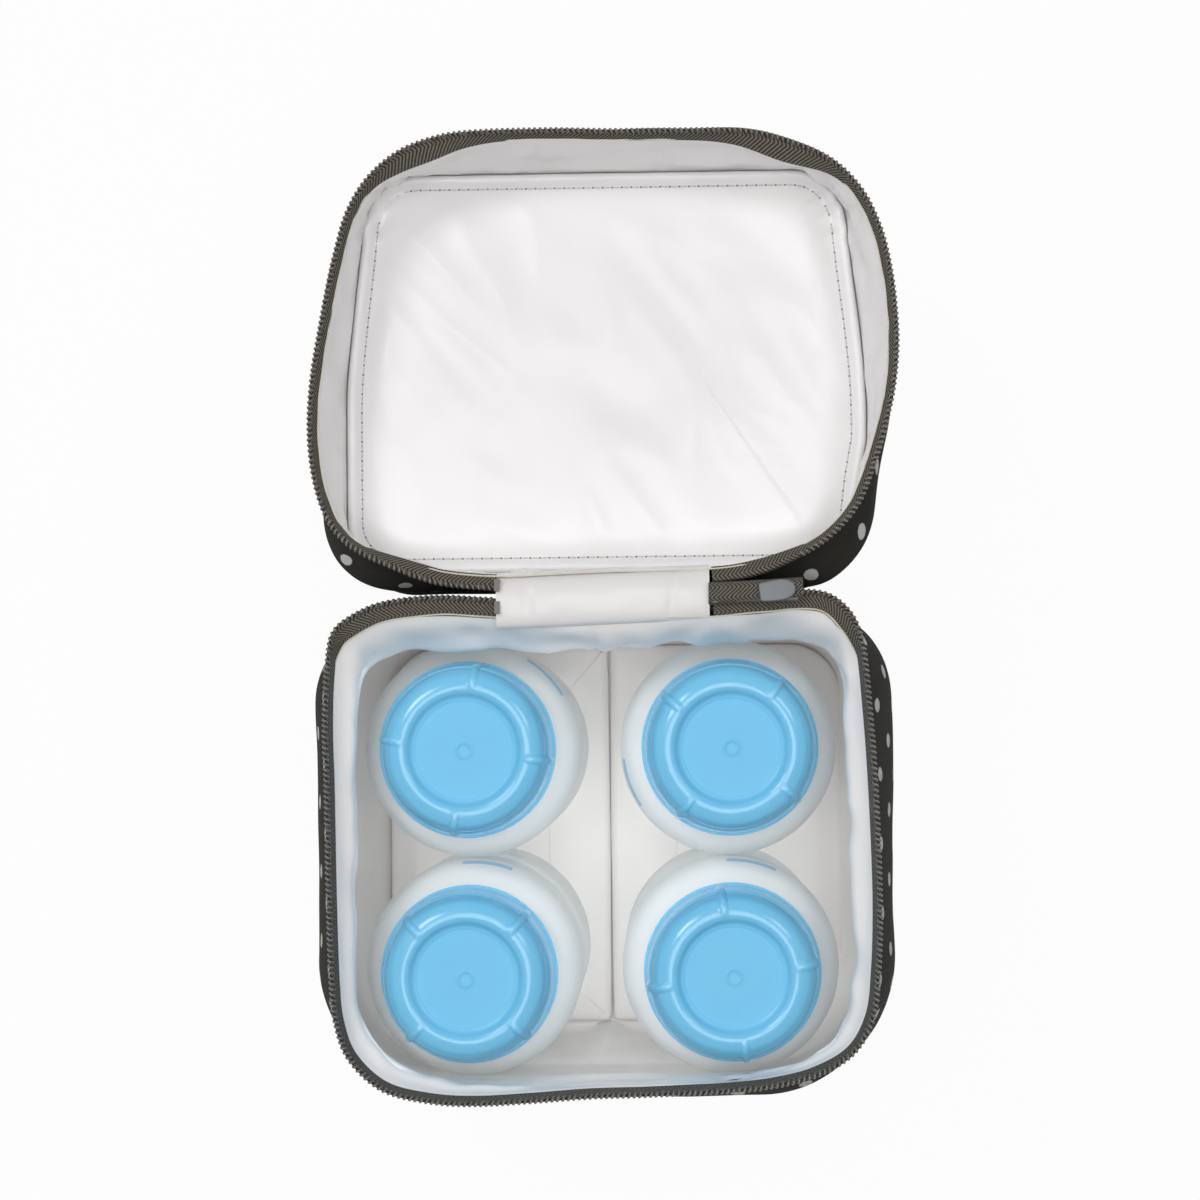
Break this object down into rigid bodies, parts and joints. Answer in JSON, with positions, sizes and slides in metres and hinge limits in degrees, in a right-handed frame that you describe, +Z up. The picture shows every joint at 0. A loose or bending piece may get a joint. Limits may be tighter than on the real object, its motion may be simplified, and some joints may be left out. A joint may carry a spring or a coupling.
{
  "type": "breast milk cooler bag",
  "caption": "Soft insulated zip-round cooler bag with its lid laid open and capped milk storage bottles standing inside.",
  "frame": {"origin": "middle of the bag's underside", "axes": "+Z up, +Y towards the hinge and the open lid, +X to the right seen from the front"},
  "size_m": [0.1574, 0.2683, 0.131],
  "materials": {
    "outer_fabric": "matte woven",
    "white_lining": "satin film",
    "foam": "matte closed-cell foam",
    "board": "matte",
    "zip_tape": "matte woven tape",
    "zip_coil": "satin",
    "slider_metal": "gunmetal",
    "piping": "matte",
    "webbing": "matte woven",
    "thread": "matte",
    "frosted_bottle": "frosted",
    "seal": "satin",
    "cap_blue": "gloss"
  },
  "bodies": {
    "base": {"base_outer_wall": "outer_fabric", "base_wall_foam": "foam", "base_wall_lining": "white_lining", "base_outer_bottom": "outer_fabric", "base_floor_board": "board", "base_floor_foam": "foam", "base_floor_lining": "white_lining", "floor_pad_left": "white_lining", "floor_pad_right": "white_lining", "base_piping": "piping", "base_zip_tape": "zip_tape", "base_zip_coil": "zip_coil", "base_zip_stop": "slider_metal", "base_hinge_web": "outer_fabric"},
    "lid": {"lid_outer_wall": "outer_fabric", "lid_wall_foam": "foam", "lid_wall_lining": "white_lining", "lid_outer_top": "outer_fabric", "lid_top_foam": "foam", "lid_inner_panel": "white_lining", "lid_panel_welt": "white_lining", "lid_piping": "piping", "handle_strap": "webbing", "handle_stitching": "thread", "lid_zip_tape": "zip_tape", "lid_zip_coil": "zip_coil", "lid_zip_stop": "slider_metal", "lid_hinge_web": "outer_fabric"},
    "chain": {"zip_chain": "zip_coil"},
    "slider": {"zip_slider": "slider_metal"},
    "pull": {"slider_pull": "slider_metal"},
    "bottle_1": {"bottle_1": "frosted_bottle"},
    "seal_1": {"bottle_seal_1": "seal"},
    "cap_1": {"bottle_cap_1": "cap_blue"},
    "bottle_2": {"bottle_2": "frosted_bottle"},
    "seal_2": {"bottle_seal_2": "seal"},
    "cap_2": {"bottle_cap_2": "cap_blue"},
    "bottle_3": {"bottle_3": "frosted_bottle"},
    "seal_3": {"bottle_seal_3": "seal"},
    "cap_3": {"bottle_cap_3": "cap_blue"},
    "bottle_4": {"bottle_4": "frosted_bottle"},
    "seal_4": {"bottle_seal_4": "seal"},
    "cap_4": {"bottle_cap_4": "cap_blue"}
  },
  "joints": [
    {"name": "lid_hinge", "type": "hinge", "parent": "base", "child": "lid", "pos_m": [0, 0.06797, 0.12884], "axis": [-1, 0, 0], "range_deg": [-180, 0]},
    {"name": "chain_fold", "type": "hinge", "parent": "base", "child": "chain", "pos_m": [0, 0.06797, 0.12884], "axis": [-1, 0, 0], "range_deg": [-90, 0]},
    {"name": "slider_run", "type": "slide", "parent": "chain", "child": "slider", "axis": [1, 0, 0], "range_m": [-0.0102, 0]},
    {"name": "pull_swing", "type": "hinge", "parent": "slider", "child": "pull", "pos_m": [0.044, 0.06797, 0.12574], "axis": [0, 1, 0], "range_deg": [-80, 80]},
    {"name": "bottle_1_lift", "type": "slide", "parent": "base", "child": "bottle_1", "axis": [0, 0, 1], "range_m": [0, 0.13]},
    {"name": "cap_1_rise", "type": "slide", "parent": "bottle_1", "child": "seal_1", "axis": [0, 0, 1], "range_m": [0, 0.0061]},
    {"name": "cap_1_turn", "type": "hinge", "parent": "seal_1", "child": "cap_1", "pos_m": [-0.0373, 0.02845, 0.11464], "axis": [0, 0, 1], "range_deg": [0, 540]},
    {"name": "bottle_2_lift", "type": "slide", "parent": "base", "child": "bottle_2", "axis": [0, 0, 1], "range_m": [0, 0.13]},
    {"name": "cap_2_rise", "type": "slide", "parent": "bottle_2", "child": "seal_2", "axis": [0, 0, 1], "range_m": [0, 0.0061]},
    {"name": "cap_2_turn", "type": "hinge", "parent": "seal_2", "child": "cap_2", "pos_m": [0.0319, 0.02845, 0.11464], "axis": [0, 0, 1], "range_deg": [0, 540]},
    {"name": "bottle_3_lift", "type": "slide", "parent": "base", "child": "bottle_3", "axis": [0, 0, 1], "range_m": [0, 0.13]},
    {"name": "cap_3_rise", "type": "slide", "parent": "bottle_3", "child": "seal_3", "axis": [0, 0, 1], "range_m": [0, 0.0061]},
    {"name": "cap_3_turn", "type": "hinge", "parent": "seal_3", "child": "cap_3", "pos_m": [-0.0373, -0.03045, 0.11464], "axis": [0, 0, 1], "range_deg": [0, 540]},
    {"name": "bottle_4_lift", "type": "slide", "parent": "base", "child": "bottle_4", "axis": [0, 0, 1], "range_m": [0, 0.13]},
    {"name": "cap_4_rise", "type": "slide", "parent": "bottle_4", "child": "seal_4", "axis": [0, 0, 1], "range_m": [0, 0.0061]},
    {"name": "cap_4_turn", "type": "hinge", "parent": "seal_4", "child": "cap_4", "pos_m": [0.0319, -0.03045, 0.11464], "axis": [0, 0, 1], "range_deg": [0, 540]}
  ],
  "couplings": [
    {"joint": "chain_fold", "follows": "lid_hinge", "ratio": 0.5},
    {"joint": "cap_1_rise", "follows": "cap_1_turn", "m_per_rad": 0.00063662},
    {"joint": "cap_2_rise", "follows": "cap_2_turn", "m_per_rad": 0.00063662},
    {"joint": "cap_3_rise", "follows": "cap_3_turn", "m_per_rad": 0.00063662},
    {"joint": "cap_4_rise", "follows": "cap_4_turn", "m_per_rad": 0.00063662}
  ]
}
